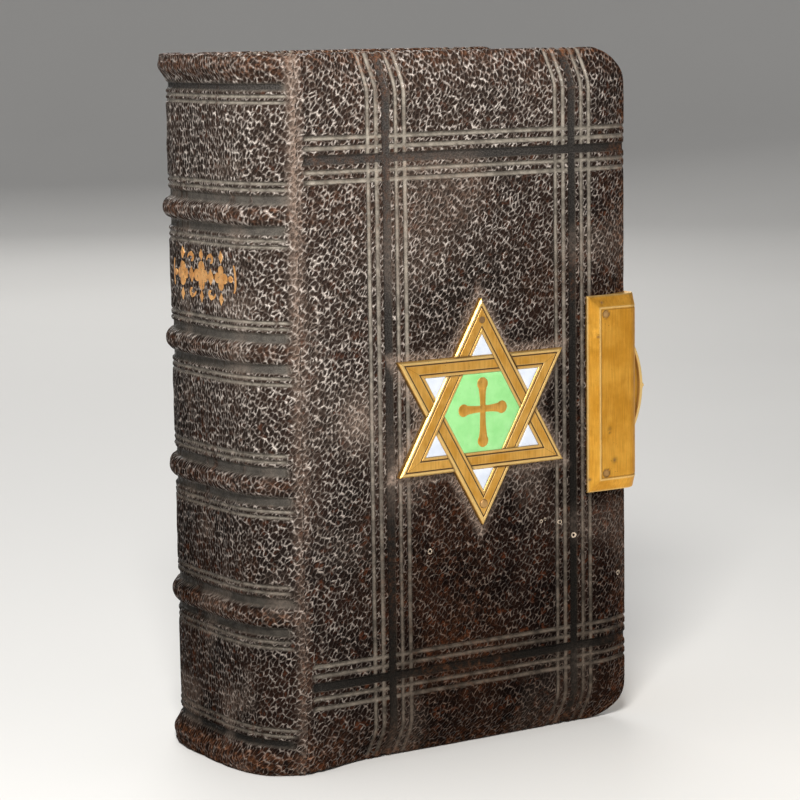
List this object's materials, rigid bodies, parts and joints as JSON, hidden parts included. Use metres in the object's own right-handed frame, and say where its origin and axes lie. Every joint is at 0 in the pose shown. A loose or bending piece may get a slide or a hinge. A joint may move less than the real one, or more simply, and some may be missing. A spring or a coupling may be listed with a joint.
{
  "type": "clasped bible",
  "caption": "Small leather-bound devotional book with raised bands, an enamelled brass star on the front cover and a hinged brass fore-edge clasp.",
  "frame": {"origin": "middle of the footprint of the closed book standing on its tail, on the surface it stands on", "axes": "+Z from tail to head, -Y out of the front cover, -X out of the rounded spine, +X towards the clasp on the fore-edge"},
  "size_m": [0.0868, 0.047, 0.127],
  "materials": {
    "leather": "satin",
    "board": "matte",
    "leaves": "matte",
    "endpaper": "matte",
    "lining": "matte",
    "cord": "matte",
    "silk": "satin",
    "brass": "satin",
    "green_enamel": "gloss",
    "white_enamel": "gloss"
  },
  "bodies": {
    "text_block": {"section_01": "leaves", "section_02": "leaves", "section_03": "leaves", "section_04": "leaves", "section_05": "leaves", "section_06": "leaves", "section_07": "leaves", "section_08": "leaves", "section_09": "leaves", "section_10": "leaves", "spine_lining": "lining", "band_cords": "cord", "headband": "silk", "tailband": "silk", "spine_leather": "leather"},
    "front_cover": {"front_board": "board", "front_cover_leather": "leather", "front_pastedown": "endpaper", "star_plate": "brass", "star_green_enamel": "green_enamel", "star_white_enamel": "white_enamel", "star_pins": "brass", "clasp_front_plate": "brass", "clasp_front_rivets": "brass"},
    "back_cover": {"back_board": "board", "back_cover_leather": "leather", "back_pastedown": "endpaper", "clasp_back_plate": "brass", "clasp_back_rivets": "brass", "clasp_hinge_pin": "brass"},
    "strap": {"clasp_strap": "brass"},
    "front_flyleaf": {"front_flyleaf": "endpaper"},
    "front_leaf_1": {"front_leaf_1": "leaves"},
    "front_leaf_2": {"front_leaf_2": "leaves"},
    "front_leaf_3": {"front_leaf_3": "leaves"},
    "back_flyleaf": {"back_flyleaf": "endpaper"},
    "back_leaf_1": {"back_leaf_1": "leaves"}
  },
  "joints": [
    {"name": "front_cover_hinge", "type": "hinge", "parent": "text_block", "child": "front_cover", "pos_m": [-0.0347, -0.022, 0], "axis": [0, 0, -1], "range_deg": [0, 110]},
    {"name": "back_cover_hinge", "type": "hinge", "parent": "text_block", "child": "back_cover", "pos_m": [-0.0347, 0.022, 0], "axis": [0, 0, 1], "range_deg": [0, 110]},
    {"name": "clasp_hinge", "type": "hinge", "parent": "back_cover", "child": "strap", "pos_m": [0.0397, 0.0198, 0.063], "axis": [0, 0, 1], "range_deg": [0, 135]},
    {"name": "front_flyleaf_turn", "type": "hinge", "parent": "text_block", "child": "front_flyleaf", "pos_m": [-0.0344, -0.01648, 0], "axis": [0, 0, -1], "range_deg": [0, 56]},
    {"name": "front_leaf_1_turn", "type": "hinge", "parent": "text_block", "child": "front_leaf_1", "pos_m": [-0.0344, -0.01605, 0], "axis": [0, 0, -1], "range_deg": [0, 43]},
    {"name": "front_leaf_2_turn", "type": "hinge", "parent": "text_block", "child": "front_leaf_2", "pos_m": [-0.0344, -0.01563, 0], "axis": [0, 0, -1], "range_deg": [0, 30]},
    {"name": "front_leaf_3_turn", "type": "hinge", "parent": "text_block", "child": "front_leaf_3", "pos_m": [-0.0344, -0.01521, 0], "axis": [0, 0, -1], "range_deg": [0, 17]},
    {"name": "back_flyleaf_turn", "type": "hinge", "parent": "text_block", "child": "back_flyleaf", "pos_m": [-0.0344, 0.01648, 0], "axis": [0, 0, 1], "range_deg": [0, 56]},
    {"name": "back_leaf_1_turn", "type": "hinge", "parent": "text_block", "child": "back_leaf_1", "pos_m": [-0.0344, 0.01605, 0], "axis": [0, 0, 1], "range_deg": [0, 36]}
  ],
  "couplings": [
    {"joint": "front_flyleaf_turn", "follows": "front_cover_hinge", "ratio": 0.5},
    {"joint": "front_leaf_1_turn", "follows": "front_cover_hinge", "ratio": 0.38},
    {"joint": "front_leaf_2_turn", "follows": "front_cover_hinge", "ratio": 0.26},
    {"joint": "front_leaf_3_turn", "follows": "front_cover_hinge", "ratio": 0.14},
    {"joint": "back_flyleaf_turn", "follows": "back_cover_hinge", "ratio": 0.5},
    {"joint": "back_leaf_1_turn", "follows": "back_cover_hinge", "ratio": 0.3}
  ]
}
